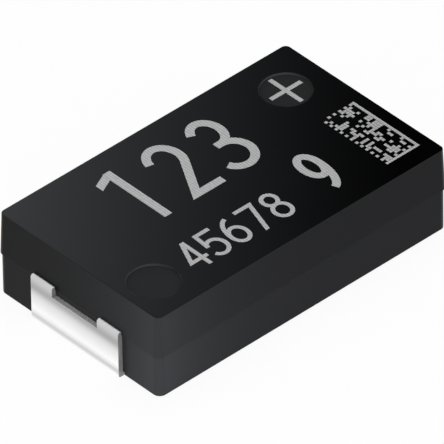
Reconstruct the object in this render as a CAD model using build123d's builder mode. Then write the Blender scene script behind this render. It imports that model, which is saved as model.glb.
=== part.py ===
from build123d import *
import os

# A conductive-polymer tantalum chip capacitor in a moulded 7.3 x 4.3 mm case
# The frame: millimetres, +Z up. The origin is the middle of the footprint on the circuit board. +X runs along
# the length towards the anode, the plus end, and +Y runs across the width.

# Outside of the finished capacitor
overall_length = 7.30
case_width = 4.30
case_height = 1.80
standoff = 0.05

# Moulded case
lower_half_height = 0.90
parting_ledge = 0.022
upper_draft = 2.4
corner_radius = 0.15
top_edge_radius = 0.015
pin_mark_diameter = 1.00
pin_mark_depth = 0.05
plus_mark_from_end = 0.95
plus_mark_from_side = 1.015
plain_mark_from_end = 0.72
plain_mark_from_side = 0.89

# Lead frame, one strip of sheet metal before it is folded
lead_thickness = 0.10
lead_width = 2.32
lead_over_parting = 0.03
outer_bend_radius = 0.05
inner_bend_radius = 0.04
foot_length = 1.30
window_width = 1.20
window_floor_drop = 0.20
window_inside_case = 0.30
step_from_end = 0.50
step_run = 0.20

# Pockets that the feet lie in
pocket_side_clearance = 0.05
pocket_tip_clearance = 0.10

# Capacitor element, set by the resin left round it
resin_under_paddle = 0.28
resin_over_element = 0.28
resin_beside_element = 0.50
pellet_back_from_end = 1.11
pellet_front_from_end = 1.99
pellet_edge_radius = 0.12
polymer_thickness = 0.03
carbon_thickness = 0.02
silver_thickness = 0.05
carbon_open_end = 0.16
silver_open_end = 0.36
adhesive_thickness = 0.04

# Anode wire, its washer and the tongue that it is welded to
wire_diameter = 0.30
wire_tip_from_back = 1.20
wire_end_to_step = 0.20
wire_weld_flat = 0.03
washer_diameter = 1.00
washer_thickness = 0.10
tongue_width = 1.00
tongue_to_washer = 0.21

# Cathode paddle under the element, measured back from the front of the pellet
paddle_short_of_front = 1.30

# Heights and places that follow from the sizes above
parting_z = standoff + lower_half_height
lead_z = parting_z + lead_over_parting
lead_top = lead_z + lead_thickness / 2
case_top = standoff + case_height
half_length = overall_length / 2
lower_half_length = overall_length - 2 * lead_thickness
lower_half_width = case_width - 2 * parting_ledge
upper_half_length = lower_half_length + 2 * parting_ledge
pocket_floor = lead_thickness
half_thickness = lead_thickness / 2
bend_radius = inner_bend_radius + half_thickness

coating_thickness = polymer_thickness + carbon_thickness + silver_thickness
paddle_z = standoff + resin_under_paddle
adhesive_z = paddle_z + lead_thickness
element_bottom = adhesive_z + adhesive_thickness
element_top = case_top - resin_over_element
pellet_height = element_top - element_bottom - 2 * coating_thickness
pellet_width = case_width - 2 * (resin_beside_element + coating_thickness)
pellet_z = (element_bottom + element_top) / 2
pellet_back = pellet_back_from_end - half_length
pellet_front = half_length - pellet_front_from_end

step_x = half_length - step_from_end
step_end_x = step_x - step_run
washer_x = pellet_front + polymer_thickness
tongue_tip = washer_x + washer_thickness + tongue_to_washer
tongue_top = pellet_z - wire_diameter / 2 + wire_weld_flat
wire_start = pellet_back + wire_tip_from_back
wire_end = step_end_x - wire_end_to_step
paddle_end = pellet_front - paddle_short_of_front


def folded_strip(end, inside_line):
    """A terminal before it is punched: end is 1 or -1 along X, and inside_line goes on from the entry."""
    plate_x = end * (half_length - half_thickness)
    entry_x = end * (half_length - lead_thickness)
    foot_x = end * (half_length - foot_length / 2)
    with BuildPart() as strip:
        with BuildSketch(Plane.XZ):
            with BuildLine():
                FilletPolyline((entry_x, lead_z), (end * step_x, lead_z), *inside_line, radius=bend_radius)
            trace(line_width=lead_thickness)
            with Locations((plate_x, lead_top / 2)):
                Rectangle(lead_thickness, lead_top)
            with Locations((foot_x, half_thickness)):
                Rectangle(foot_length, lead_thickness)
        extrude(amount=lead_width / 2, both=True)
        outer_bends = strip.edges().filter_by(Axis.Y).sort_by(lambda edge: end * edge.center().X)[-2:]
        fillet(outer_bends, radius=outer_bend_radius)
    return strip.part


def window_tool(end):
    """What the punch takes out of a terminal: a notch over its upper bend that leaves two tabs."""
    inner_x = half_length - lead_thickness - window_inside_case
    window_floor = lead_top - window_floor_drop
    with BuildPart() as punch:
        with BuildSketch(Plane.YZ.offset(end * inner_x)):
            with Locations((0, window_floor)):
                Rectangle(window_width, lower_half_height, align=(Align.CENTER, Align.MIN))
        extrude(amount=end * (half_length - inner_x + lead_thickness))
    return punch.part


def coated_block(growth, front_x, rounded_front):
    """The outer form of the element after a dip: the pellet grown on all sides, cut off flat at front_x."""
    back_x = pellet_back - growth
    with BuildPart() as block:
        with BuildSketch(Plane.YZ.offset(back_x)):
            with Locations((0, pellet_z)):
                Rectangle(pellet_width + 2 * growth, pellet_height + 2 * growth)
        extrude(amount=front_x - back_x)
        edges = block.edges()
        if not rounded_front:
            edges = edges - block.faces().sort_by(Axis.X)[-1].edges()
        fillet(edges, radius=pellet_edge_radius + growth)
    return block.part


# Anode wire: round, with its last stretch pressed flat underneath where it is welded to the tongue
with BuildPart() as anode_wire:
    with BuildSketch(Plane.YZ.offset(wire_start)):
        with Locations((0, pellet_z)):
            Circle(wire_diameter / 2)
    extrude(amount=wire_end - wire_start)
    with BuildSketch(Plane.YZ.offset(tongue_tip)):
        with Locations((0, tongue_top)):
            Rectangle(wire_diameter, wire_diameter, align=(Align.CENTER, Align.MAX))
    extrude(amount=wire_end - tongue_tip, mode=Mode.SUBTRACT)
anode_wire.part.label = "anode_wire"

# Anode pellet: the sintered block, moulded round the inner end of its wire
pellet_form = coated_block(0, pellet_front, rounded_front=True)
with BuildPart() as anode_pellet:
    add(pellet_form)
    add(anode_wire.part, mode=Mode.SUBTRACT)
anode_pellet.part.label = "anode_pellet"

# Polymer layer: covers the block on all six sides and lets only the wire through
polymer_form = coated_block(polymer_thickness, washer_x, rounded_front=True)
with BuildPart() as polymer_layer:
    add(polymer_form)
    add(pellet_form, mode=Mode.SUBTRACT)
    add(anode_wire.part, mode=Mode.SUBTRACT)
polymer_layer.part.label = "polymer_layer"

# Carbon layer: a cup over five sides that stops short of the wire end
carbon_growth = polymer_thickness + carbon_thickness
carbon_form = coated_block(carbon_growth, pellet_front - carbon_open_end, rounded_front=False)
with BuildPart() as carbon_layer:
    add(carbon_form)
    add(polymer_form, mode=Mode.SUBTRACT)
carbon_layer.part.label = "carbon_layer"

# Silver layer: a second cup that stops a little earlier
silver_form = coated_block(coating_thickness, pellet_front - silver_open_end, rounded_front=False)
with BuildPart() as silver_layer:
    add(silver_form)
    add(carbon_form, mode=Mode.SUBTRACT)
silver_layer.part.label = "silver_layer"

# Washer: slid along the wire until it meets the coated end of the block
with BuildPart() as wire_washer:
    with BuildSketch(Plane.YZ.offset(washer_x)):
        with Locations((0, pellet_z)):
            Circle(washer_diameter / 2)
            Circle(wire_diameter / 2, mode=Mode.SUBTRACT)
    extrude(amount=washer_thickness)
wire_washer.part.label = "wire_washer"

# Cathode terminal: foot, end plate, entry with its window, step down and the paddle under the element
paddle_mid_z = paddle_z + half_thickness
with BuildPart() as cathode_terminal:
    add(folded_strip(-1, [(-step_end_x, paddle_mid_z), (paddle_end, paddle_mid_z)]))
    add(window_tool(-1), mode=Mode.SUBTRACT)
cathode_terminal.part.label = "cathode_terminal"

# Silver adhesive: a flat bed between the paddle and the underside of the silver layer
adhesive_start = pellet_back + pellet_edge_radius
with BuildPart() as silver_adhesive:
    with BuildSketch(Plane.XY.offset(adhesive_z)):
        with Locations((adhesive_start, 0)):
            Rectangle(paddle_end - adhesive_start, lead_width, align=(Align.MIN, Align.CENTER))
    extrude(amount=adhesive_thickness)
silver_adhesive.part.label = "silver_adhesive"

# Anode terminal: the same outside, then a small step to a narrow tongue that carries the wire
tongue_mid_z = tongue_top - half_thickness
shoulder_width = (lead_width - tongue_width) / 2
with BuildPart() as anode_terminal:
    add(folded_strip(1, [(step_end_x, tongue_mid_z), (tongue_tip, tongue_mid_z)]))
    add(window_tool(1), mode=Mode.SUBTRACT)
    with BuildSketch(Plane.XY.offset(tongue_mid_z - lead_thickness)):
        with Locations((tongue_tip, lead_width / 2), (tongue_tip, -tongue_width / 2)):
            Rectangle(step_end_x - tongue_tip, shoulder_width, align=(Align.MIN, Align.MAX))
    extrude(amount=2 * lead_thickness, mode=Mode.SUBTRACT)
anode_terminal.part.label = "anode_terminal"

# Resin case: two mould halves, pockets for the feet, pin marks, and the hollow that the inside fills
with BuildPart() as resin_case:
    with BuildSketch(Plane.XY.offset(standoff)):
        RectangleRounded(lower_half_length, lower_half_width, corner_radius)
    extrude(amount=lower_half_height)
    with BuildSketch(Plane.XY.offset(parting_z)):
        RectangleRounded(upper_half_length, case_width, corner_radius)
    extrude(amount=case_height - lower_half_height, taper=upper_draft)
    fillet(resin_case.faces().sort_by(Axis.Z)[-1].edges(), radius=top_edge_radius)
    plus_mark = (upper_half_length / 2 - plus_mark_from_end, case_width / 2 - plus_mark_from_side)
    plain_mark = (plain_mark_from_end - upper_half_length / 2, plain_mark_from_side - case_width / 2)
    with BuildSketch(Plane.XY.offset(case_top)):
        with Locations(plus_mark, plain_mark):
            Circle(pin_mark_diameter / 2)
    extrude(amount=-pin_mark_depth, mode=Mode.SUBTRACT)
    pocket_length = foot_length + pocket_tip_clearance
    pocket_width = lead_width + 2 * pocket_side_clearance
    with BuildSketch(Plane.XY.offset(standoff)):
        with Locations((half_length - pocket_length / 2, 0), (pocket_length / 2 - half_length, 0)):
            Rectangle(pocket_length, pocket_width)
    extrude(amount=pocket_floor - standoff, mode=Mode.SUBTRACT)
    for inside in (cathode_terminal, anode_terminal, silver_adhesive, anode_wire, wire_washer):
        add(inside.part, mode=Mode.SUBTRACT)
    add(polymer_form, mode=Mode.SUBTRACT)
    add(carbon_form, mode=Mode.SUBTRACT)
    add(silver_form, mode=Mode.SUBTRACT)
resin_case.part.label = "resin_case"

# One file for each piece
pieces = [
    resin_case,
    cathode_terminal,
    anode_terminal,
    anode_pellet,
    anode_wire,
    wire_washer,
    polymer_layer,
    carbon_layer,
    silver_layer,
    silver_adhesive,
]
os.makedirs("parts", exist_ok=True)
for piece in pieces:
    export_step(piece.part, f"parts/{piece.part.label}.step")
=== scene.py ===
# %% [markdown]
# # Dressing a moulded chip capacitor
#
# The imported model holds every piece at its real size: a black resin case, a folded metal terminal at each
# end, and the tantalum element inside. This file adds what the model can't say: how resin, tin plate and
# laser marks look from a hand's width away. Every length is written in millimetres and turned into metres
# with MM.

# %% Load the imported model
import math
import random

import bmesh
import bpy
from mathutils import Matrix, Vector


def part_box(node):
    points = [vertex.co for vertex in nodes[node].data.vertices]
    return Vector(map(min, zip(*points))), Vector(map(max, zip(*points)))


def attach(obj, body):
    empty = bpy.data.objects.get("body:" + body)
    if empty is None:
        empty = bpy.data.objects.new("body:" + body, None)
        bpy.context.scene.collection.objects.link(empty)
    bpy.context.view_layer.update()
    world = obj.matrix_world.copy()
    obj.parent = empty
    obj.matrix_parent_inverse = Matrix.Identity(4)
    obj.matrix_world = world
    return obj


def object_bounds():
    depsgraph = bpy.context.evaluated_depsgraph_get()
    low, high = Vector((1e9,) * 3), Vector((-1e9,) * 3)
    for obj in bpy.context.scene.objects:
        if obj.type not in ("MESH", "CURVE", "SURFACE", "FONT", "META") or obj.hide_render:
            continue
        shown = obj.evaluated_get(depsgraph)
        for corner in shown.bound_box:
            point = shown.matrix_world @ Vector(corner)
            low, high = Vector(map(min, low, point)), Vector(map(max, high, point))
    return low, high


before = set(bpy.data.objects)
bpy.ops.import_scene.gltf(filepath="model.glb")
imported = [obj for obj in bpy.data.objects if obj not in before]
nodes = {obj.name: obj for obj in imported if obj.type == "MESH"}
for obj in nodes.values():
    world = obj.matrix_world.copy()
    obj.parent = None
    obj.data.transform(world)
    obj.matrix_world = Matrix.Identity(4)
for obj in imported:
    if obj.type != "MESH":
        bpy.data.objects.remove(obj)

MM = 0.001
cad_low, cad_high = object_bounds()
print("pieces in the model:", ", ".join(sorted(nodes)))

# %% [markdown]
# ## Places to build on
#
# New pieces have to sit on the real ones, and some tones belong to one place on the part. So the heights and
# places that they need are read from the model and not typed in. The top face is the highest plane of the
# case. The two round pin marks are found by their floors: well inside the outline, they are the only points
# of the case that lie just under that plane. The parting line is the lowest place of the wide upper half,
# and the window of a terminal lies between the inner edges of its two tabs.

# %% Measure the case
A_HAIR = 0.01 * MM
EDGE_STRIP = 0.2 * MM
DEEPEST_MARK = 0.1 * MM

case_low, case_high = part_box("resin_case")
terminal_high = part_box("cathode_terminal")[1]
case_top = case_high.z
case_points = [vertex.co for vertex in nodes["resin_case"].data.vertices]
inner_x, inner_y = case_high.x - EDGE_STRIP, case_high.y - EDGE_STRIP
well_inside = [p for p in case_points if abs(p.x) < inner_x and abs(p.y) < inner_y]
pin_floor_points = [p for p in well_inside if A_HAIR < case_top - p.z < DEEPEST_MARK]
pin_floor = min(p.z for p in pin_floor_points)
parting = min(p.z for p in case_points if p.x > case_high.x - A_HAIR)
folded_points = [vertex.co for vertex in nodes["cathode_terminal"].data.vertices if vertex.co.x < case_low.x]
window_half_width = min(abs(p.y) for p in folded_points if p.z > terminal_high.z - A_HAIR)
window_edge_points = [p for p in folded_points if abs(abs(p.y) - window_half_width) < A_HAIR]
window_floor_z = min(p.z for p in window_edge_points)


def middle_of(points):
    """The middle of the box round some points."""
    low = Vector(map(min, zip(*points)))
    high = Vector(map(max, zip(*points)))
    return (low + high) / 2


plus_points = [p for p in pin_floor_points if p.x > 0]
plain_points = [p for p in pin_floor_points if p.x < 0]
plus_place, plain_place = middle_of(plus_points), middle_of(plain_points)
pin_radius = max((p - plus_place).xy.length for p in plus_points)
print(f"top face at {case_top / MM:.3f} mm, pin floors {(case_top - pin_floor) / MM:.3f} mm below it")
print(f"pin marks {2 * pin_radius / MM:.3f} mm across")
print(f"parting line at {parting / MM:.3f} mm, window floor at {window_floor_z / MM:.3f} mm")

# %% [markdown]
# ## Short words for shader nodes
#
# A material is a graph, and a graph is easier to read when a node and its wires fit on one line.
# `shader_node` fills each input with a value, or with a wire if it is given another node's output.
# `work_out` and `on_vectors` are the same for the Math nodes, and `spread` turns one range of values into
# another.


# %% Node helpers
def shader_node(tree, kind, inputs=None, **settings):
    """Adds a node; settings are its own properties, and inputs go by the socket's name or number."""
    node = tree.nodes.new("ShaderNode" + kind)
    for name, value in settings.items():
        setattr(node, name, value)
    for socket, value in (inputs or {}).items():
        if isinstance(value, bpy.types.NodeSocket):
            tree.links.new(value, node.inputs[socket])
        else:
            node.inputs[socket].default_value = value
    return node


def work_out(tree, operation, first, second=0.0):
    """One Math node, and the socket that holds its result."""
    return shader_node(tree, "Math", {0: first, 1: second}, operation=operation).outputs[0]


def on_vectors(tree, operation, first, second):
    """One Vector Math node; its outputs are Vector and Value."""
    return shader_node(tree, "VectorMath", {0: first, 1: second}, operation=operation).outputs


def spread(tree, value, from_low, from_high, to_low=0.0, to_high=1.0, course="SMOOTHSTEP"):
    """A step of a value from one range to another, smooth or linear."""
    inputs = {
        "Value": value,
        "From Min": from_low,
        "From Max": from_high,
        "To Min": to_low,
        "To Max": to_high,
    }
    return shader_node(tree, "MapRange", inputs, interpolation_type=course).outputs["Result"]


print("node helpers: shader_node, work_out, on_vectors, spread")

# %% [markdown]
# ## Groups for the effects that come back
#
# Grain, drift, edge wear and fine lines are on more than one material, each time with other sizes. A node
# group holds such an effect once, and its named inputs take the sizes. All of them read the place on the
# object in millimetres, so a size means the same on every piece.


# %% Group helpers
def place_in_mm(tree):
    """The point on the object, in millimetres, which keeps texture sizes near one."""
    place = shader_node(tree, "TexCoord").outputs["Object"]
    return shader_node(tree, "VectorMath", {0: place, "Scale": 1 / MM}, operation="SCALE").outputs[0]


def new_group(name, inputs, outputs):
    """An empty node group: its inputs are numbers or vectors, and its outputs numbers."""
    tree = bpy.data.node_groups.new(name, "ShaderNodeTree")
    for socket, value in inputs.items():
        kind = "NodeSocketVector" if isinstance(value, tuple) else "NodeSocketFloat"
        made = tree.interface.new_socket(name=socket, in_out="INPUT", socket_type=kind)
        made.default_value = value
    for socket in outputs:
        tree.interface.new_socket(name=socket, in_out="OUTPUT", socket_type="NodeSocketFloat")
    return tree, tree.nodes.new("NodeGroupInput").outputs, tree.nodes.new("NodeGroupOutput").inputs


print("group helpers: place_in_mm, new_group")

# %% [markdown]
# ## Grain: the skin of a moulded or sintered surface
#
# The mould of such a case is spark-eroded, so its resin is covered in tiny soft pits. A photo texture could
# show them, but it would blur close up; noise at the size of the pits stays sharp at any distance. Two
# sizes are added, because real grain is never all one size. The same group gives pressed metal powder and
# paint their roughness, with other sizes.

# %% Build the grain group
COARSE_SCALE = 0.3
SPECK_RIM, SPECK_MIDDLE = 0.32, 0.12

grain_group, given, gives = new_group(
    "surface_grain", {"Grain size": 0.05, "Coarse share": 0.4}, ["Height", "Speckle"]
)
tree = grain_group
spots_per_mm = work_out(tree, "DIVIDE", 1.0, given["Grain size"])
fine = shader_node(tree, "TexNoise", {"Vector": place_in_mm(tree), "Scale": spots_per_mm, "Detail": 2.0})
coarse_scale = work_out(tree, "MULTIPLY", spots_per_mm, COARSE_SCALE)
coarse = shader_node(tree, "TexNoise", {"Vector": place_in_mm(tree), "Scale": coarse_scale, "Detail": 1.0})
coarse_part = work_out(tree, "MULTIPLY", coarse.outputs["Fac"], given["Coarse share"])
tree.links.new(work_out(tree, "ADD", fine.outputs["Fac"], coarse_part), gives["Height"])
cells = shader_node(tree, "TexVoronoi", {"Vector": place_in_mm(tree), "Scale": spots_per_mm})
tree.links.new(spread(tree, cells.outputs["Distance"], SPECK_RIM, SPECK_MIDDLE), gives["Speckle"])
print("group made:", grain_group.name)

# %% [markdown]
# ## Drift: no large surface has one tone
#
# Resin flows as it cures and tin plate ages unevenly, so tone and gloss wander slowly across a face. One
# soft noise with patches a millimetre or two wide gives a value round one half that each material uses
# sparingly.

# %% Build the drift group
NOISE_LOW, NOISE_HIGH = 0.25, 0.75

drift_group, given, gives = new_group("tone_drift", {"Patch size": 2.0, "Seed": 0.0}, ["Value"])
tree = drift_group
patches_per_mm = work_out(tree, "DIVIDE", 1.0, given["Patch size"])
moved = on_vectors(tree, "ADD", place_in_mm(tree), given["Seed"])["Vector"]
patches = shader_node(
    tree, "TexNoise", {"Vector": moved, "Scale": patches_per_mm, "Detail": 3.0, "Roughness": 0.6}
)
tree.links.new(spread(tree, patches.outputs["Fac"], NOISE_LOW, NOISE_HIGH), gives["Value"])
print("group made:", drift_group.name)

# %% [markdown]
# ## Worn edges
#
# Corners of small parts are polished by trays, tape pockets and tweezers. The Bevel node bends the normal
# only near an edge, so the difference between its normal and the true one is a mask of the edges. Noise
# breaks the mask up, because wear is never an even outline.

# %% Build the edge group
BEVEL_SAMPLES = 6
FLAT_LIKENESS, EDGE_LIKENESS = 0.995, 0.86
FLECK_LOW, FLECK_HIGH = 0.35, 0.6

edge_group, given, gives = new_group("edge_wear", {"Width": 0.03, "Breakup": 0.15}, ["Mask"])
tree = edge_group
width_in_metres = work_out(tree, "MULTIPLY", given["Width"], MM)
rounded = shader_node(tree, "Bevel", {"Radius": width_in_metres}, samples=BEVEL_SAMPLES).outputs["Normal"]
true_normal = shader_node(tree, "NewGeometry").outputs["Normal"]
alike = on_vectors(tree, "DOT_PRODUCT", rounded, true_normal)["Value"]
edges = spread(tree, alike, FLAT_LIKENESS, EDGE_LIKENESS)
flecks_per_mm = work_out(tree, "DIVIDE", 1.0, given["Breakup"])
flecks = shader_node(tree, "TexNoise", {"Vector": place_in_mm(tree), "Scale": flecks_per_mm, "Detail": 3.0})
broken_up = spread(tree, flecks.outputs["Fac"], FLECK_LOW, FLECK_HIGH)
tree.links.new(work_out(tree, "MULTIPLY", edges, broken_up), gives["Mask"])
print("group made:", edge_group.name)

# %% [markdown]
# ## Fine lines: rolled, drawn and hatched surfaces
#
# Sheet metal carries the marks of its rolls, wire those of its die, and a laser mark the rows of its beam.
# All three are noise that is squeezed across the lines and stretched along them. The input vector says how
# many times the noise repeats in a millimetre along X, Y and Z.

# %% Build the lines group
line_group, given, gives = new_group("fine_lines", {"Repeats": (20.0, 20.0, 1.0)}, ["Height"])
tree = line_group
stretched = on_vectors(tree, "MULTIPLY", place_in_mm(tree), given["Repeats"])["Vector"]
lines = shader_node(tree, "TexNoise", {"Vector": stretched, "Scale": 1.0, "Detail": 2.0})
tree.links.new(lines.outputs["Fac"], gives["Height"])
print("group made:", line_group.name)

# %% [markdown]
# ## Short words for materials
#
# Each finish is a material with one Principled shader. These helpers start it, place a group in it with its
# own values, blend two colours by a mask and turn a height into bumps. Nearly all the tones here are greys,
# so a colour is written as a lightness with a slight tint. The Mix node keeps sockets for every kind of
# value, and those for colours have to be told by their numbers.

# %% Material helpers
MIX_SHARE, MIX_FIRST, MIX_SECOND, MIX_RESULT = 0, 6, 7, 2


def new_material(name):
    """A material with an empty graph, its Principled shader and that shader's inputs."""
    material = bpy.data.materials.new(name)
    material.use_nodes = True
    tree = material.node_tree
    tree.nodes.clear()
    shader = shader_node(tree, "BsdfPrincipled")
    shader_node(tree, "OutputMaterial", {"Surface": shader.outputs[0]})
    return material, tree, shader.inputs


def use_group(tree, group, **inputs):
    """Places a group in a material with its own values, and gives its outputs."""
    node = tree.nodes.new("ShaderNodeGroup")
    node.node_tree = group
    for socket, value in inputs.items():
        node.inputs[socket.replace("_", " ")].default_value = value
    return node.outputs


def blend_colours(tree, share, first, second):
    """A mix of two colours by a mask."""
    inputs = {MIX_SHARE: share, MIX_FIRST: first, MIX_SECOND: second}
    return shader_node(tree, "Mix", inputs, data_type="RGBA").outputs[MIX_RESULT]


def grey(level, tint=(1.0, 1.0, 1.0)):
    """A colour from its lightness, with a slight tint."""
    return (level * tint[0], level * tint[1], level * tint[2], 1.0)


def raise_bumps(tree, shader_inputs, height, depth):
    """Feeds a height to the shader's normal; depth is in metres."""
    bump = shader_node(tree, "Bump", {"Height": height, "Strength": 1.0, "Distance": depth})
    tree.links.new(bump.outputs["Normal"], shader_inputs["Normal"])


print("material helpers: new_material, use_group, blend_colours, grey, raise_bumps")

# %% [markdown]
# ## Case resin
#
# The case is epoxy filled with glass powder and carbon black. It is far blacker than grey plastic, and
# nearly all the light that it sends back is gloss from its matt skin, so the base colour is very low and
# the roughness does the work. One flat black would look like a drawing, so the colour is built up in steps
# from masks, which say where on the case a point lies.
#
# The normal tells the faces apart. On a rounded corner it lies between two faces, so a product of its parts
# is a mask of the corner, which gets a painted highlight. The top edge is found in this way too, because the
# Bevel node sees no edge on a rounding that the mesh already has, and it gets a painted highlight as well.
# The walls over the parting line lean back and get painted shade, which leaves them a little darker.

# %% Resin: faces, corners and upper walls
MOSTLY_UP = 0.5
FLAT_PRODUCT, ROUND_PRODUCT = 0.1, 0.2

resin, tree, skin = new_material("case_resin")
resin_normal = shader_node(tree, "NewGeometry").outputs["Normal"]
facing = shader_node(tree, "SeparateXYZ", {0: resin_normal}).outputs
place = shader_node(tree, "SeparateXYZ", {0: place_in_mm(tree)}).outputs
on_top = work_out(tree, "GREATER_THAN", facing["Z"], MOSTLY_UP)
not_on_top = work_out(tree, "SUBTRACT", 1.0, on_top)
endwise = work_out(tree, "ABSOLUTE", facing["X"])
sideways = work_out(tree, "ABSOLUTE", facing["Y"])
upright_corner = work_out(tree, "MULTIPLY", endwise, sideways)
between_faces = work_out(tree, "MULTIPLY", facing["Z"], work_out(tree, "SUBTRACT", 1.0, facing["Z"]))
top_edge = spread(tree, between_faces, FLAT_PRODUCT, ROUND_PRODUCT)
# The walls over the parting line get painted shade further on.
over_parting = work_out(tree, "GREATER_THAN", place["Z"], parting / MM)
shaded_upper_wall = work_out(tree, "MULTIPLY", over_parting, not_on_top)
print("resin masks: faces, corners, upper walls")

# %% [markdown]
# ### Painted light at one corner
#
# The sides are painted paler round one upright corner, as a pool of light, and that painted light falls by
# more than half with every millimetre. A fixed share raised to the power of the distance does this. The
# distance is measured level, from the upright line in the middle of the corner's rounding, so the tone is
# the same at any height.


# %% Resin: painted light at one corner
def distance_from(tree, place):
    """The distance in millimetres from an upright line through a place, given in metres."""
    flattened = on_vectors(tree, "MULTIPLY", place_in_mm(tree), (1.0, 1.0, 0.0))["Vector"]
    middle = (place[0] / MM, place[1] / MM, 0.0)
    return on_vectors(tree, "DISTANCE", flattened, middle)["Value"]


# Painted light: sides and ends are painted paler round this corner, fading with the distance from it.
CORNER_RADIUS = 0.15 * MM
LIT_CORNER_MIDDLE = (case_low.x + CORNER_RADIUS, case_low.y + CORNER_RADIUS)
PAINTED_LIGHT_FADING = 0.45

near_lit_corner = work_out(tree, "POWER", PAINTED_LIGHT_FADING, distance_from(tree, LIT_CORNER_MIDDLE))
corner_painted_light = work_out(tree, "MULTIPLY", near_lit_corner, not_on_top)
print("gate at", [round(v / MM, 2) for v in LIT_CORNER_MIDDLE], "mm")

# %% [markdown]
# ### The pin marks
#
# The pins that push the part out of its mould are ground rough, so the two marks are paler and quite dull.
# Their walls get a painted highlight, brightest on the side that faces one fixed way, which is found by the
# way the wall faces. A mark is a shallow hollow, so it is picked out by the distance from its middle and by
# two heights.
# Without the lower height its tone would run through the case and show on the underside.

# %% Resin: the pin marks
UNDER_TOP = 0.002
# Painted highlight: the pin mark walls that face this way are the brightest.
HIGHLIGHTED_WALL_FACES = (0.74, -0.672, 0.0)
TURNED_AWAY, TURNED_TO = -0.9, 0.1

pin_reach = (pin_radius + A_HAIR) / MM
pin_distance = work_out(tree, "MINIMUM", distance_from(tree, plus_place), distance_from(tree, plain_place))
within_reach = work_out(tree, "LESS_THAN", pin_distance, pin_reach)
sunk = work_out(tree, "LESS_THAN", place["Z"], case_top / MM - UNDER_TOP)
over_pin_floor = work_out(tree, "GREATER_THAN", place["Z"], (pin_floor - A_HAIR) / MM)
in_hollow = work_out(tree, "MULTIPLY", sunk, over_pin_floor)
in_pin_mark = work_out(tree, "MULTIPLY", within_reach, in_hollow)
like_highlighted_wall = on_vectors(tree, "DOT_PRODUCT", resin_normal, HIGHLIGHTED_WALL_FACES)["Value"]
wall_highlight_share = spread(tree, like_highlighted_wall, TURNED_AWAY, TURNED_TO)
print(f"pin marks picked out within {pin_reach:.2f} mm of their middles")

# %% [markdown]
# ### Painted light at the terminals
#
# Where the terminals have their windows, the end face is painted paler, as painted light over the shade
# there. A trace of it runs out beside the terminals and fades over a tenth of a millimetre. Both lie on the
# end faces only, and no higher than the terminals reach.

# %% Resin: painted light at the terminals
# Painted light on the end faces in the terminal windows and beside the terminals.
SQUARE_ON = 0.9
LEAD_PAINTED_LIGHT_RUN = 0.11
LEAD_PAINTED_LIGHT_SHARE = 0.5

lead_side, lead_top = terminal_high.y / MM, terminal_high.z / MM
at_end = work_out(tree, "GREATER_THAN", endwise, SQUARE_ON)
off_centre = work_out(tree, "ABSOLUTE", place["Y"])
between_tabs = work_out(tree, "LESS_THAN", off_centre, window_half_width / MM)
under_parting = work_out(tree, "LESS_THAN", place["Z"], parting / MM)
in_window = work_out(tree, "MULTIPLY", between_tabs, under_parting)
fading_out = spread(tree, off_centre, lead_side, lead_side + LEAD_PAINTED_LIGHT_RUN, LEAD_PAINTED_LIGHT_SHARE, 0.0, "LINEAR")
beside_lead = work_out(tree, "GREATER_THAN", off_centre, lead_side)
below_tabs = work_out(tree, "LESS_THAN", place["Z"], lead_top)
run_out = work_out(tree, "MULTIPLY", fading_out, work_out(tree, "MULTIPLY", beside_lead, below_tabs))
lead_painted_light_share = work_out(tree, "MULTIPLY", at_end, work_out(tree, "MAXIMUM", in_window, run_out))
print(f"flash from {lead_side:.2f} to {lead_side + LEAD_PAINTED_LIGHT_RUN:.2f} mm off the centre line")

# %% [markdown]
# ### Tones and gloss of the resin
#
# Each mask now lays one more tone over those before it. The long sides are painted a little paler than the
# ends, and both are painted paler still round one corner, as painted light. The upright corners get a
# painted highlight, the walls over the parting line painted shade, and the end faces painted light at the
# terminals. Worn edges show a trace of the grey filler, which also lies along the top edge as a painted
# highlight, and the pin mark walls get a painted highlight. The skin is full of pores, which weakens its
# gloss.

# %% Resin: tones and gloss
BLACK, SOFTER_BLACK = grey(0.0004, (0.98, 1.0, 1.08)), grey(0.001, (0.98, 1.0, 1.06))
SPECK_SHARE, SPECK_GREY = 0.15, grey(0.005)
# Painted light: the long sides are a paler grey than the ends.
LONG_SIDE_PAINTED_LIGHT_GREY = grey(0.0095, (0.97, 1.0, 1.2))
# Painted light: the paler greys of the ends and the long sides near one upright corner.
END_PAINTED_LIGHT_GREY, SIDE_PAINTED_LIGHT_GREY = grey(0.054, (0.95, 1.0, 1.12)), grey(0.056, (0.96, 1.0, 1.12))
# Painted highlight on the rounded upright corners.
CORNER_HIGHLIGHT_GREY = grey(0.071, (0.99, 1.0, 1.05))
# Painted shade: the share of black laid over the walls above the parting line.
UPPER_PAINTED_SHADE = 0.2
# The filler grey is real edge wear, and along the top edge it is also a painted highlight.
EDGE_WEAR, TOP_EDGE_HIGHLIGHT, FILLER_AND_HIGHLIGHT_GREY = 0.8, 0.42, grey(0.05)
LEAD_PAINTED_LIGHT_GREY = grey(0.04)
# Painted highlight on the pin mark walls.
PIN_WALL_FAINT_HIGHLIGHT, PIN_WALL_STRONG_HIGHLIGHT = grey(0.045), grey(0.105)
PIN_FLOOR_GREY = grey(0.0202, (0.98, 1.0, 1.04))
SKIN_SMOOTH, SKIN_ROUGH, PIN_ROUGHENING = 0.31, 0.36, 0.65
PORE_GLOSS = 0.07
PIT_DEPTH = 0.0006 * MM

grain = use_group(tree, grain_group, Grain_size=0.045, Coarse_share=0.5)
drift = use_group(tree, drift_group, Patch_size=1.8, Seed=3.0)
wear = use_group(tree, edge_group, Width=0.02, Breakup=0.2)
plain_black = blend_colours(tree, drift["Value"], BLACK, SOFTER_BLACK)
speck_share = work_out(tree, "MULTIPLY", grain["Speckle"], SPECK_SHARE)
speckled = blend_colours(tree, speck_share, plain_black, SPECK_GREY)
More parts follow.
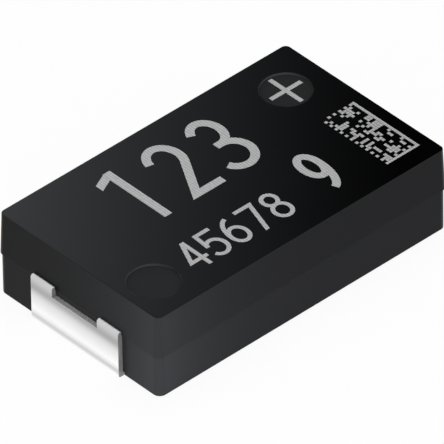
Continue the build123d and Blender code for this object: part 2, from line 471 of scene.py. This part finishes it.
# Painted light: the long sides are painted paler than the ends.
sides_with_painted_light = blend_colours(tree, sideways, speckled, LONG_SIDE_PAINTED_LIGHT_GREY)
# Painted light: a paler grey round one upright corner, a little stronger on the long side.
painted_light_tone = blend_colours(tree, sideways, END_PAINTED_LIGHT_GREY, SIDE_PAINTED_LIGHT_GREY)
with_corner_painted_light = blend_colours(tree, corner_painted_light, sides_with_painted_light, painted_light_tone)
# Painted highlight on the rounded upright corners.
with_corner_highlight = blend_colours(tree, upright_corner, with_corner_painted_light, CORNER_HIGHLIGHT_GREY)
# Painted shade on the walls above the parting line.
painted_shade_above = blend_colours(tree, work_out(tree, "MULTIPLY", shaded_upper_wall, UPPER_PAINTED_SHADE), with_corner_highlight, BLACK)
# Edge wear, and along the top edge a painted highlight in the same filler grey.
edge_wear = work_out(tree, "MULTIPLY", wear["Mask"], EDGE_WEAR)
wear_and_highlight_share = work_out(tree, "MAXIMUM", edge_wear, work_out(tree, "MULTIPLY", top_edge, TOP_EDGE_HIGHLIGHT))
worn_and_highlighted = blend_colours(tree, wear_and_highlight_share, painted_shade_above, FILLER_AND_HIGHLIGHT_GREY)
# Painted light on the end faces at the terminals.
lead_painted_light = blend_colours(tree, lead_painted_light_share, worn_and_highlighted, LEAD_PAINTED_LIGHT_GREY)
# Painted highlight on the pin mark walls, brightest on one side.
wall_painted_highlight = blend_colours(tree, wall_highlight_share, PIN_WALL_FAINT_HIGHLIGHT, PIN_WALL_STRONG_HIGHLIGHT)
pin_tone = blend_colours(tree, on_top, wall_painted_highlight, PIN_FLOOR_GREY)
tree.links.new(blend_colours(tree, in_pin_mark, lead_painted_light, pin_tone), skin["Base Color"])
satin = spread(tree, drift["Value"], 0.0, 1.0, SKIN_SMOOTH, SKIN_ROUGH)
roughened = work_out(tree, "MULTIPLY", in_pin_mark, PIN_ROUGHENING)
tree.links.new(work_out(tree, "ADD", satin, roughened), skin["Roughness"])
skin["Specular IOR Level"].default_value = PORE_GLOSS
raise_bumps(tree, skin, grain["Height"], PIT_DEPTH)
print("material made:", resin.name)

# %% [markdown]
# ## Tin plate
#
# The terminals are stamped from copper-alloy strip that is plated with tin, and folded after moulding. Their
# colour carries painted light and shade along the height of the end plate: a painted dark line round the
# lower bend, a bright stretch over it, and a painted dark band just under the upper bend. A colour ramp
# along the height of the end plate holds that run of tones. Each tone has its place, from 0 at the board to
# 1 at the top.

# %% Painted light and shade along the end plate
# Painted light and shade: greys along the height of the end plate.
TIN_PAINTED_SHADING = [
    (0.055, 1.00),
    (0.085, 0.80),
    (0.11, 0.70),
    (0.15, 0.63),
    (0.21, 0.86),
    (0.29, 1.00),
    (0.34, 0.97),
    (0.44, 0.89),
    (0.56, 0.79),
    (0.64, 0.65),
    (0.70, 0.49),
    (0.76, 0.39),
    (0.83, 0.44),
    (0.92, 0.57),
    (1.00, 0.62),
]
TIN_TINT = (1.0, 0.994, 0.998)


def tone_ramp(tree, value, stops):
    """A run of greys along a value from 0 to 1, even between one stop and the next."""
    node = shader_node(tree, "ValToRGB", {"Fac": value})
    ramp = node.color_ramp
    ramp.interpolation = "LINEAR"
    while len(ramp.elements) < len(stops):
        ramp.elements.new(0.5)
    for element, (position, level) in zip(ramp.elements, stops):
        element.position = position
        element.color = grey(level, TIN_TINT)
    return node.outputs["Color"]


print("tones on the ramp:", len(TIN_PAINTED_SHADING))

# %% [markdown]
# ### Cut faces and tab tops
#
# Where the strip was sheared, at its sides and in its window, the cut metal is grey and torn, so it scatters
# light and hardly mirrors. The cut sides are found by their normals, and the floor of the window by its
# place, because it is level and lies well under the tops of the tabs. Those level tops are frosted by the
# folding tool, so they scatter light too and look pale, but for a strip of painted shade where they go into
# the resin.

# %% Tin: cut faces and tab tops
CREASE_WIDTH = 0.03
case_side = case_high.x / MM
half_way_up = (window_floor_z + terminal_high.z) / 2 / MM

tin, tree, skin = new_material("tin_plate")
tin_normal = shader_node(tree, "NewGeometry").outputs["Normal"]
facing = shader_node(tree, "SeparateXYZ", {0: tin_normal}).outputs
place = shader_node(tree, "SeparateXYZ", {0: place_in_mm(tree)}).outputs
cut_side = work_out(tree, "GREATER_THAN", work_out(tree, "ABSOLUTE", facing["Y"]), SQUARE_ON)
level_and_up = work_out(tree, "GREATER_THAN", facing["Z"], SQUARE_ON)
from_middle = work_out(tree, "ABSOLUTE", place["X"])
outside_case = work_out(tree, "GREATER_THAN", from_middle, case_side - CREASE_WIDTH)
level_outside = work_out(tree, "MULTIPLY", level_and_up, outside_case)
under_tabs = work_out(tree, "LESS_THAN", place["Z"], half_way_up)
window_floor = work_out(tree, "MULTIPLY", level_outside, under_tabs)
tab_top = work_out(tree, "SUBTRACT", level_outside, window_floor)
cut_face = work_out(tree, "MAXIMUM", cut_side, window_floor)
# Painted shade: a dark strip along the back of the tab tops, where they meet the resin.
out_of_crease_shade = spread(tree, from_middle, case_side, case_side + CREASE_WIDTH)
print(f"tab tops over {half_way_up:.3f} mm, window floor under it")

# %% [markdown]
# ### Tones and gloss of the tin
#
# On the faces the tin is satin with faint rolling lines. It ages a little warmer in patches, and its edges
# are polished. A torn face is a mix of two greys that the lines group breaks up, and on the floor of the
# window both greys are darker, as painted shade. Cut and frosted faces scatter their light, so the same
# mask takes their Metallic down and their Roughness up.

# %% Tin: tones and gloss
AGEING, AGED_TIN = 0.06, grey(0.5, (1.0, 0.97, 0.92))
POLISH, POLISHED_TIN = 0.35, grey(0.96)
TORN_LOW, TORN_HIGH = 0.35, 0.65
# The floor tones are darker than the side tones as painted shade.
TORN_SIDE_TONES, TORN_FLOOR_SHADED_TONES = (grey(0.34), grey(0.5)), (grey(0.28), grey(0.46))
# Painted shade for the strip where the tab tops meet the resin.
CREASE_PAINTED_SHADE, FROSTED_GREY = grey(0.08), grey(0.9)
CUT_DULLNESS = 0.67
TIN_SMOOTH, TIN_ROUGH, DULL_ROUGHENING = 0.26, 0.33, 0.45
ROLLING_DEPTH = 0.0005 * MM

rolled = use_group(tree, line_group, Repeats=(1.5, 26.0, 1.5))
torn = use_group(tree, line_group, Repeats=(40.0, 40.0, 3.0))
drift = use_group(tree, drift_group, Patch_size=1.1, Seed=11.0)
wear = use_group(tree, edge_group, Width=0.012, Breakup=0.12)
# Painted light and shade along the height of the end plate.
painted_shading_on_tin = tone_ramp(tree, work_out(tree, "DIVIDE", place["Z"], lead_top), TIN_PAINTED_SHADING)
aged = blend_colours(tree, work_out(tree, "MULTIPLY", drift["Value"], AGEING), painted_shading_on_tin, AGED_TIN)
polished = blend_colours(tree, work_out(tree, "MULTIPLY", wear["Mask"], POLISH), aged, POLISHED_TIN)
torn_light = spread(tree, torn["Height"], TORN_LOW, TORN_HIGH)
torn_side = blend_colours(tree, torn_light, *TORN_SIDE_TONES)
# Painted shade: the window floor is a darker torn grey.
torn_floor_with_shade = blend_colours(tree, torn_light, *TORN_FLOOR_SHADED_TONES)
torn_tone = blend_colours(tree, window_floor, torn_side, torn_floor_with_shade)
torn_or_bright = blend_colours(tree, cut_face, polished, torn_tone)
# Painted shade along the back of the pale tab tops.
frosted_with_crease_shade = blend_colours(tree, out_of_crease_shade, CREASE_PAINTED_SHADE, FROSTED_GREY)
tree.links.new(blend_colours(tree, tab_top, torn_or_bright, frosted_with_crease_shade), skin["Base Color"])
dulled = work_out(tree, "ADD", work_out(tree, "MULTIPLY", cut_face, CUT_DULLNESS), tab_top)
tree.links.new(work_out(tree, "SUBTRACT", 1.0, dulled), skin["Metallic"])
satin = spread(tree, drift["Value"], 0.0, 1.0, TIN_SMOOTH, TIN_ROUGH)
roughened = work_out(tree, "MULTIPLY", dulled, DULL_ROUGHENING)
tree.links.new(work_out(tree, "ADD", satin, roughened), skin["Roughness"])
raise_bumps(tree, skin, rolled["Height"], ROLLING_DEPTH)
print("material made:", tin.name)

# %% [markdown]
# ## The materials inside
#
# Nothing inside the case is in view, but a section or a taken-off case shows it, so each layer has its own
# finish: porous grey metal powder, drawn wire, white washer, blue-black polymer, dull graphite and flaky
# silver. They are the same grain, drift and fine lines with other values, which is what groups are for, so
# one function makes them all.

# %% A function for the inner materials
PATCH_SIZE, GLOSS_SWING = 0.8, 0.05
FLAKE_GREY = grey(0.85)


def inner_material(
    name, colours, roughness, metal=0.0, grain_size=0.06, depth=0.002, speckle=0.0, lines=None
):
    """A finish for a hidden piece: two tones that drift, relief from grain or lines, and pale specks."""
    material, tree, skin = new_material(name)
    grain = use_group(tree, grain_group, Grain_size=grain_size, Coarse_share=0.6)
    drift = use_group(tree, drift_group, Patch_size=PATCH_SIZE, Seed=len(name))
    tone = blend_colours(tree, drift["Value"], *colours)
    fleck_share = work_out(tree, "MULTIPLY", grain["Speckle"], speckle)
    tree.links.new(blend_colours(tree, fleck_share, tone, FLAKE_GREY), skin["Base Color"])
    uneven_gloss = spread(tree, drift["Value"], 0.0, 1.0, roughness - GLOSS_SWING, roughness + GLOSS_SWING)
    tree.links.new(uneven_gloss, skin["Roughness"])
    skin["Metallic"].default_value = metal
    height = use_group(tree, line_group, Repeats=lines)["Height"] if lines else grain["Height"]
    raise_bumps(tree, skin, height, depth * MM)
    return material


print("material helper: inner_material")

# %% Build the inner materials
inner_finishes = {
    "anode_pellet": inner_material(
        "sintered_tantalum",
        colours=(grey(0.13, (1, 1, 1.06)), grey(0.2, (1, 1, 1.05))),
        roughness=0.62,
        metal=0.8,
        depth=0.006,
    ),
    "anode_wire": inner_material(
        "tantalum_wire",
        colours=(grey(0.4, (1, 1, 1.05)), grey(0.5, (1, 1, 1.04))),
        roughness=0.32,
        metal=1.0,
        lines=(1.0, 60.0, 60.0),
    ),
    "wire_washer": inner_material(
        "washer_white", colours=(grey(0.78), grey(0.86)), roughness=0.45, grain_size=0.12, depth=0.001
    ),
    "polymer_layer": inner_material(
        "conductive_polymer",
        colours=((0.012, 0.016, 0.045, 1), (0.02, 0.026, 0.07, 1)),
        roughness=0.4,
        grain_size=0.1,
    ),
    "carbon_layer": inner_material(
        "graphite", colours=(grey(0.025), grey(0.045)), roughness=0.58, depth=0.004
    ),
    "silver_layer": inner_material(
        "silver_paint",
        colours=(grey(0.55, (1, 0.99, 0.96)), grey(0.7, (1, 0.99, 0.96))),
        roughness=0.42,
        metal=0.9,
        speckle=0.5,
    ),
    "silver_adhesive": inner_material(
        "silver_glue",
        colours=(grey(0.45, (1, 0.99, 0.95)), grey(0.6, (1, 0.99, 0.95))),
        roughness=0.5,
        metal=0.8,
        speckle=0.4,
    ),
}
print("inner materials made:", len(inner_finishes))

# %% [markdown]
# ### Every piece gets its finish
#
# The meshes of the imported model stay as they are, and only the material in their slot is set. Both
# terminals share one tin.

# %% Put the finishes on the pieces
finishes = {"resin_case": resin, "cathode_terminal": tin, "anode_terminal": tin, **inner_finishes}
for name, material in finishes.items():
    slots = nodes[name].data.materials
    slots.clear()
    slots.append(material)
print("pieces with a finish:", len(finishes))

# %% [markdown]
# ## Strokes for the laser marks
#
# A marking laser draws figures as single strokes of one width. Font outlines would bring someone's typeface
# with them, so each figure here is its own centre line in a unit square, made of straight runs and arcs. A
# stroke has a step to its left and right at every point. At a bend the step follows the mitre, and at an end
# it is square to the stroke, or level or upright, so that a sloping stroke closes flush with the figure's
# box.

# %% Arcs, ends and bends of a stroke
ARC_STEPS = 22
MITRE_LIMIT = 0.48


def arc(centre, radii, start, end):
    """Points of an arc, with angles in degrees counted anticlockwise from the right."""
    turns = [math.radians(start + (end - start) * i / ARC_STEPS) for i in range(ARC_STEPS + 1)]
    return [(centre[0] + radii[0] * math.cos(t), centre[1] + radii[1] * math.sin(t)) for t in turns]


def tip_of(tip, inner, cut, half_width):
    """Where a stroke ends, and the step from there to its left edge for a stroke that travels outwards."""
    outwards = (tip - inner).normalized()
    if cut == "level":
        return tip + outwards * half_width / abs(outwards.y), Vector((-1 / outwards.y, 0))
    if cut == "upright":
        return tip + outwards * half_width / abs(outwards.x), Vector((0, 1 / outwards.x))
    return tip, Vector((-outwards.y, outwards.x))


def corner_step(before, point, after):
    """The step to the left edge at a bend of the stroke, for a half width of 1."""
    arriving, leaving = (point - before).normalized(), (after - point).normalized()
    left_in, left_out = Vector((-arriving.y, arriving.x)), Vector((-leaving.y, leaving.x))
    mitre = (left_in + left_out).normalized()
    return mitre / max(mitre.dot(left_out), MITRE_LIMIT)


print("stroke helpers: arc, tip_of, corner_step")

# %% [markdown]
# ### From a stroke to a slab
#
# A stroke becomes a thin closed slab that stands a hair proud of the resin. It is built as a row of rings
# with four corners, one at each point, and faces between each ring and the next. A stroke with ends gets a
# lid on its first and last ring, and a loop joins its last ring to its first.


# %% A slab along a line
def stroke_mesh(name, line, width, low, high, cuts=("plain", "plain")):
    """A flat slab along a line, from height low to height high; a stroke with cuts=None is a closed loop."""
    half_width = width / 2
    line = list(line)
    last = len(line) - 1
    if cuts:
        line[0], first_step = tip_of(line[0], line[1], cuts[0], half_width)
        line[last], last_step = tip_of(line[last], line[last - 1], cuts[1], half_width)
    builder = bmesh.new()
    rings = []
    for i, point in enumerate(line):
        if cuts and i == 0:
            step = -first_step
        elif cuts and i == last:
            step = last_step
        else:
            step = corner_step(line[i - 1], point, line[(i + 1) % len(line)])
        left, right = point + step * half_width, point - step * half_width
        corners = [(left, low), (right, low), (right, high), (left, high)]
        rings.append([builder.verts.new((p.x, p.y, z)) for p, z in corners])
    pairs = list(zip(rings, rings[1:])) + ([] if cuts else [(rings[-1], rings[0])])
    for ring, following in pairs:
        for k in range(4):
            builder.faces.new((ring[k], ring[(k + 1) % 4], following[(k + 1) % 4], following[k]))
    if cuts:
        builder.faces.new(rings[0][::-1])
        builder.faces.new(rings[-1])
    bmesh.ops.recalc_face_normals(builder, faces=builder.faces)
    mesh = bpy.data.meshes.new(name)
    builder.to_mesh(mesh)
    builder.free()
    return mesh


print("slab helper: stroke_mesh")

# %% [markdown]
# ### Slabs that cross
#
# Two closed slabs that run through each other would leave stray faces inside, so crossing strokes are united
# into one skin by an exact Boolean. Marks that don't touch are simply kept as one object.


# %% Show, unite and join
def show(name, data):
    """Puts a mesh, lamp or camera in the scene as an object."""
    made = bpy.data.objects.new(name, data)
    bpy.context.scene.collection.objects.link(made)
    return made


def unite(name, meshes):
    """One object from several closed slabs that cross each other."""
    base = show(name, meshes[0])
    for mesh in meshes[1:]:
        other = show(name + "_tool", mesh)
        union = base.modifiers.new("union", "BOOLEAN")
        union.operation = "UNION"
        union.solver = "EXACT"
        union.object = other
        united = bpy.data.meshes.new_from_object(base.evaluated_get(bpy.context.evaluated_depsgraph_get()))
        base.modifiers.clear()
        base.data = united
        bpy.data.objects.remove(other)
    return base


def join(name, parts):
    """One object from several that don't touch."""
    builder = bmesh.new()
    for part in parts:
        builder.from_mesh(part.data)
    mesh = bpy.data.meshes.new(name)
    builder.to_mesh(mesh)
    builder.free()
    for part in parts:
        bpy.data.objects.remove(part)
    return show(name, mesh)


print("object helpers: show, unite, join")

# %% [markdown]
# ## The shapes of the figures
#
# Each figure is a list of strokes: the points of the stroke, and how its two ends are cut. A stroke whose
# cuts are None is a loop and has no ends. The unit square holds the centre lines, so half a stroke stands
# out all round it.

# %% Draw the figures in a unit square
FIGURES = {
    "1": [
        ([(0.0, 0.915), (0.42, 0.955)], ("upright", "upright")),
        ([(1.0, 0.0), (1.0, 1.0)], ("level", "level")),
    ],
    "2": [(arc((0.5, 0.735), (0.5, 0.265), 168, -38) + [(0.1, 0.0), (1.0, 0.0)], ("plain", "upright"))],
    "3": [
        (arc((0.48, 0.757), (0.43, 0.243), 155, -90) + [(0.42, 0.514)], ("plain", "upright")),
        ([(0.42, 0.514)] + arc((0.46, 0.257), (0.54, 0.257), 90, -155), ("upright", "plain")),
    ],
    "4": [
        ([(0.76, 0.0), (0.76, 1.0)], ("level", "level")),
        ([(0.68, 1.0), (0.0, 0.27), (1.0, 0.27)], ("level", "upright")),
    ],
    "5": [
        ([(0.96, 1.0), (0.12, 1.0), (0.05, 0.5)], ("upright", "level")),
        (arc((0.45, 0.317), (0.55, 0.317), 140, -148), ("plain", "plain")),
    ],
    "6": [
        (arc((0.5, 0.31), (0.5, 0.31), 0, 360)[:-1], None),
        (arc((0.86, 0.34), (0.86, 0.66), 180, 98), ("plain", "plain")),
    ],
    "7": [([(0.0, 1.0), (1.0, 1.0), (0.36, 0.0)], ("upright", "level"))],
    "8": [
        (arc((0.5, 0.77), (0.42, 0.23), 0, 360)[:-1], None),
        (arc((0.5, 0.27), (0.5, 0.27), 0, 360)[:-1], None),
    ],
}
FIGURES["9"] = [([(1 - x, 1 - y) for x, y in line], cuts) for line, cuts in FIGURES["6"]]
print("figures drawn:", " ".join(FIGURES))

# %% [markdown]
# ## The marks on the top face
#
# Printed parts carry a value, a lot number, a check figure, a plus sign in its pin mark and a block of dots
# for a reader. The figures here are plain counting numbers and the dots come from a seeded draw, so they
# look right and say nothing. Each size and place is in millimetres on the top face, from the middle of the
# part.

# %% Rows of figures
MARK_PROUD = 0.0015 * MM
MARK_DEPTH = 0.004 * MM


def figure(character, left, bottom, width, height, stroke):
    """One figure in a box on the top face, all in metres."""
    inner_width, inner_height = width - stroke, height - stroke
    first_x, first_y = left + stroke / 2, bottom + stroke / 2
    low, high = case_top - MARK_DEPTH, case_top + MARK_PROUD
    slabs = []
    for line, cuts in FIGURES[character]:
        points = [Vector((first_x + x * inner_width, first_y + y * inner_height)) for x, y in line]
        slabs.append(stroke_mesh("stroke", points, stroke, low, high, cuts))
    return unite("figure", slabs)


def row_of_figures(name, boxes, bottom, height, stroke):
    """Figures side by side, all in millimetres: boxes lists each character, its left edge and its width."""
    made = [
        figure(character, left * MM, bottom * MM, width * MM, height * MM, stroke * MM)
        for character, left, width in boxes
    ]
    return join(name, made)


value_boxes = [("1", -1.77, 0.48), ("2", -0.76, 0.8), ("3", 0.3, 0.83)]
value_row = row_of_figures("value_figures", value_boxes, bottom=-0.055, height=1.67, stroke=0.175)
lot_lefts = [-2.06, -1.55, -1.04, -0.52, 0.0]
lot_boxes = [(character, left, 0.43) for character, left in zip("45678", lot_lefts)]
lot_row = row_of_figures("lot_figures", lot_boxes, bottom=-1.59, height=0.79, stroke=0.086)
check_boxes = [("9", 1.17, 0.52)]
check_figure = row_of_figures("check_figure", check_boxes, bottom=-1.62, height=1.22, stroke=0.155)
print("figure rows made:", value_row.name, lot_row.name, check_figure.name)

# %% [markdown]
# ### The plus sign
#
# A plus sign marks the anode. It lies on the floor of the pin mark at that end, a little off its middle.
# Its two bars cross, so they are united into one slab like the strokes of a figure.

# %% Plus sign
PLUS_LENGTH, PLUS_WIDTH = 0.76 * MM, 0.86 * MM
PLUS_STROKE = 0.096 * MM
PLUS_SHIFT = Vector((0.025 * MM, 0.028 * MM, 0))


def bar(start, end, width, level):
    """A straight stroke between two points."""
    points = [Vector(start), Vector(end)]
    return stroke_mesh("bar", points, width, level - MARK_DEPTH, level + MARK_PROUD)


plus_middle = plus_place + PLUS_SHIFT
half_bars = (Vector((PLUS_LENGTH / 2, 0, 0)), Vector((0, PLUS_WIDTH / 2, 0)))
plus_bars = [
    bar((plus_middle - reach).xy, (plus_middle + reach).xy, PLUS_STROKE, pin_floor) for reach in half_bars
]
plus_sign = unite("plus_sign", plus_bars)
print("plus sign at", [round(v / MM, 2) for v in plus_middle])

# %% [markdown]
# ### The block of dots
#
# Such a block has a solid border on two sides and an alternating one on the other two, so a reader can find
# it. The laser burns each dot by itself, so the dots are separate little slabs with a hair's breadth
# between them.

# %% Dot block
CELL = 0.0675 * MM
COLUMNS, ROWS = 12, 26
BLOCK_LEFT, BLOCK_BOTTOM = 2.46 * MM, -1.725 * MM
BORDER_WIDTH, DOT_SIZE = 0.85 * CELL, 0.9 * CELL
DOT_CHANCE = 0.36
DRAW_SEED = 7
draw = random.Random(DRAW_SEED)


def is_burnt(column, row):
    """Whether a cell holds a dot; the solid border is drawn apart from the dots."""
    if column == COLUMNS - 1 or row == 0:
        return False
    if column == 0:
        return row % 2 == 0
    if row == ROWS - 1:
        return column % 2 == 0
    return draw.random() < DOT_CHANCE


def cell_middle(column, row):
    """The middle of a cell on the top face."""
    return Vector((BLOCK_LEFT + (column + 0.5) * CELL, BLOCK_BOTTOM + (row + 0.5) * CELL))


dots = []
half_dot = Vector((DOT_SIZE / 2, 0))
for row in range(ROWS):
    for column in range(COLUMNS):
        if is_burnt(column, row):
            middle = cell_middle(column, row)
            dots.append(show("dot", bar(middle - half_dot, middle + half_dot, DOT_SIZE, case_top)))
border_line = [
    cell_middle(0, 0) - Vector((CELL / 2, 0)),
    cell_middle(COLUMNS - 1, 0),
    cell_middle(COLUMNS - 1, ROWS - 1) + Vector((0, CELL / 2)),
]
border = stroke_mesh("border", border_line, BORDER_WIDTH, case_top - MARK_DEPTH, case_top + MARK_PROUD)
dot_block = join("dot_block", [*dots, show("border", border)])
print("dots burnt:", len(dots))

# %% [markdown]
# ### Laser-marked resin
#
# The beam foams the top microns of the resin into a pale grey crust with no gloss. It fills a stroke row by
# row, and the rows show as fine lines across the part. They are a sine of the place along the part, and
# noise breaks them up, because no two passes burn alike.

# %% Build the mark material
ROW_PITCH = 0.055
BURNT_LOW, BURNT_HIGH = 0.1, 1.2
FAINT_ROW, STRONG_ROW = grey(0.365), grey(0.505)
CRUMB_SHARE, CRUMB_GREY = 0.4, grey(0.3)
CRUST_ROUGHNESS, CRUST_GLOSS = 0.85, 0.2
CRUST_DEPTH = 0.001 * MM

mark, tree, skin = new_material("laser_mark")
uneven = use_group(tree, line_group, Repeats=(24.0, 9.0, 1.0))
grain = use_group(tree, grain_group, Grain_size=0.05, Coarse_share=0.3)
along_mm = shader_node(tree, "SeparateXYZ", {0: place_in_mm(tree)}).outputs["X"]
rows = work_out(tree, "SINE", work_out(tree, "MULTIPLY", along_mm, math.tau / ROW_PITCH))
burnt_rows = work_out(tree, "MULTIPLY", work_out(tree, "ADD", rows, 1.0), uneven["Height"])
tone = blend_colours(tree, spread(tree, burnt_rows, BURNT_LOW, BURNT_HIGH), FAINT_ROW, STRONG_ROW)
crumbed = blend_colours(tree, work_out(tree, "MULTIPLY", grain["Speckle"], CRUMB_SHARE), tone, CRUMB_GREY)
tree.links.new(crumbed, skin["Base Color"])
skin["Roughness"].default_value = CRUST_ROUGHNESS
skin["Specular IOR Level"].default_value = CRUST_GLOSS
raise_bumps(tree, skin, burnt_rows, CRUST_DEPTH)
print("material made:", mark.name)

# %% Finish and place the marks
marks = [value_row, lot_row, check_figure, plus_sign, dot_block]
for piece in marks:
    piece.data.materials.clear()
    piece.data.materials.append(mark)
    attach(piece, "root")
print("marks placed:", ", ".join(piece.name for piece in marks))

# %% [markdown]
# ## Floor and surroundings
#
# The part stands on plain white. The floor keeps a soft shadow from its own shading, and a share of plain
# white is mixed in where the camera looks at it. Gloss and clear surfaces see it as white, and the
# surroundings do the same, so metal mirrors the white that is round it, while the light on the part itself
# stays at a plain level.

# %% Make the floor
FLOOR_SIZE, FLOOR_CELLS = 600 * MM, 8
FLOOR_GREY, WHITE = grey(0.95), grey(1.0)
FLOOR_WHITE_SHARE = 0.92


def seen_directly(tree, camera_share=1.0):
    """How much plain white a ray sees: the camera's share, or all of it for glossy and transmitted rays."""
    path = shader_node(tree, "LightPath").outputs
    to_camera = work_out(tree, "MULTIPLY", path["Is Camera Ray"], camera_share)
    to_mirrors = work_out(tree, "MAXIMUM", path["Is Glossy Ray"], path["Is Transmission Ray"])
    return work_out(tree, "MAXIMUM", to_camera, to_mirrors)


bpy.ops.mesh.primitive_grid_add(
    x_subdivisions=FLOOR_CELLS, y_subdivisions=FLOOR_CELLS, size=FLOOR_SIZE, location=(0, 0, 0)
)
floor = bpy.context.object
floor.name = "floor"
floor_paint = bpy.data.materials.new("floor_paint")
floor_paint.use_nodes = True
tree = floor_paint.node_tree
tree.nodes.clear()
matt = shader_node(tree, "BsdfDiffuse", {"Color": FLOOR_GREY}).outputs[0]
white = shader_node(tree, "Emission", {"Color": WHITE, "Strength": 1.0}).outputs[0]
white_share = seen_directly(tree, FLOOR_WHITE_SHARE)
shade = shader_node(tree, "MixShader", {0: white_share, 1: matt, 2: white}).outputs[0]
shader_node(tree, "OutputMaterial", {"Surface": shade})
floor.data.materials.append(floor_paint)
print("stage made:", floor.name)

# %% Make the world
ROOM_BRIGHTNESS = 0.35

world = bpy.data.worlds.new("plain_room")
bpy.context.scene.world = world
world.use_nodes = True
tree = world.node_tree
tree.nodes.clear()
room = shader_node(tree, "Background", {"Color": WHITE, "Strength": ROOM_BRIGHTNESS}).outputs[0]
white = shader_node(tree, "Background", {"Color": WHITE, "Strength": 1.0}).outputs[0]
shade = shader_node(tree, "MixShader", {0: seen_directly(tree), 1: room, 2: white}).outputs[0]
shader_node(tree, "OutputWorld", {"Surface": shade})
print("surroundings made:", world.name)

# %% [markdown]
# ## A graduated card over the part
#
# Black resin shows whatever it faces. In the picture its top runs from a cool grey at the left to black at
# the right, which photographers get from a card that is shaded from white to black. The card hangs level
# over the part, so each point of the top mirrors the card at the same distance, and its left edge stops
# short, so that the folded metal at that end mirrors the white room. Only gloss sees the card: it is no
# lamp, and it neither shades the part nor shows in the picture.

# %% Hang the card
CARD_HEIGHT = 1.0
CARD_LEFT, CARD_RIGHT, CARD_DEPTH = -3.3, 22.0, 44.0
CARD_SLOPE = (0.740, -0.672, 0.0)
CARD_WHITE_END, CARD_BLACK_END = -4.8, 3.9
CARD_BRIGHTNESS = 3.87
CARD_CURVE = 1.8
CARD_TINT = (0.95, 1.0, 1.07)

card_mesh = bpy.data.meshes.new("graduated_card")
card_outline = [(CARD_LEFT, -0.5), (CARD_RIGHT, -0.5), (CARD_RIGHT, 0.5), (CARD_LEFT, 0.5)]
card_mesh.from_pydata([(x * MM, y * CARD_DEPTH * MM, 0) for x, y in card_outline], [], [(0, 1, 2, 3)])
card = show("graduated_card", card_mesh)
card.location.z = case_top + CARD_HEIGHT * MM
card_paint = bpy.data.materials.new("card_paint")
card_paint.use_nodes = True
tree = card_paint.node_tree
tree.nodes.clear()
to_right = on_vectors(tree, "DOT_PRODUCT", place_in_mm(tree), CARD_SLOPE)["Value"]
fading = spread(tree, to_right, CARD_WHITE_END, CARD_BLACK_END, 1.0, 0.0, "LINEAR")
lightness = work_out(tree, "POWER", fading, CARD_CURVE)
brightness = work_out(tree, "MULTIPLY", lightness, CARD_BRIGHTNESS)
glow = shader_node(tree, "Emission", {"Color": grey(1.0, CARD_TINT), "Strength": brightness}).outputs[0]
shader_node(tree, "OutputMaterial", {"Surface": glow})
card.data.materials.append(card_paint)
card.visible_camera = False
card.visible_diffuse = False
card.visible_shadow = False
card.visible_transmission = False
print(f"card {CARD_HEIGHT:.1f} mm over the top face, {CARD_RIGHT - CARD_LEFT:.0f} mm wide")

# %% [markdown]
# ## Lamps
#
# Studio lamps for a part this small are panels a few centimetres away. Each panel is placed by the
# direction that it comes from, its distance and its size, and its power follows from the brightness of its
# face. Gloss doesn't see the panels, because the white room and the card are all that it should mirror.


# %% Make the lamps
part_middle = (cad_low + cad_high) / 2


def softbox(name, azimuth, elevation, distance, size, brightness):
    """A square panel that faces the middle of the part; azimuth 0 is in front, on the side of -Y."""
    a, e = math.radians(azimuth), math.radians(elevation)
    outwards = Vector((math.sin(a) * math.cos(e), -math.cos(a) * math.cos(e), math.sin(e)))
    data = bpy.data.lights.new(name, "AREA")
    data.shape = "SQUARE"
    data.size = size
    data.energy = brightness * math.pi * size**2
    lamp = show(name, data)
    lamp.location = part_middle + outwards * distance
    lamp.rotation_mode = "QUATERNION"
    lamp.rotation_quaternion = outwards.to_track_quat("Z", "Y")
    lamp.visible_camera = False
    lamp.visible_glossy = False
    return lamp


lamps = [
    softbox("overhead_panel", azimuth=0, elevation=88, distance=80 * MM, size=60 * MM, brightness=3.0),
    softbox("left_panel", azimuth=-75, elevation=35, distance=70 * MM, size=40 * MM, brightness=1.5),
    softbox("front_panel", azimuth=0, elevation=30, distance=70 * MM, size=40 * MM, brightness=1.0),
]
print("lamps:", ", ".join(lamp.name for lamp in lamps))

# %% [markdown]
# ## Camera
#
# The picture is nearly without perspective, which a very long lens gives. Azimuth, elevation and roll turn
# the camera round the middle of the part, and the distance and lens together set the size in the frame.

# %% Place the camera
VIEW_AZIMUTH, VIEW_ELEVATION, VIEW_ROLL = -42.292, 38.959, -0.899
VIEW_DISTANCE = 257.92 * MM
VIEW_OFFSET = (-0.0233 * MM, -0.0325 * MM)
LENS_LENGTH, SENSOR_WIDTH = 1156.96, 36
NEAREST, FARTHEST = 10 * MM, 2000 * MM

turn = (
    Matrix.Rotation(math.radians(VIEW_AZIMUTH), 3, "Z")
    @ Matrix.Rotation(math.radians(90 - VIEW_ELEVATION), 3, "X")
    @ Matrix.Rotation(math.radians(VIEW_ROLL), 3, "Z")
)
camera_data = bpy.data.cameras.new("camera")
camera_data.lens = LENS_LENGTH
camera_data.sensor_width = SENSOR_WIDTH
camera_data.clip_start = NEAREST
camera_data.clip_end = FARTHEST
camera = show("camera", camera_data)
camera_place = part_middle + turn @ Vector((*VIEW_OFFSET, VIEW_DISTANCE))
camera.matrix_world = Matrix.Translation(camera_place) @ turn.to_4x4()
bpy.context.scene.camera = camera
bpy.context.scene.view_settings.view_transform = "Standard"
print("camera at", [round(v / MM, 1) for v in camera_place], "mm")
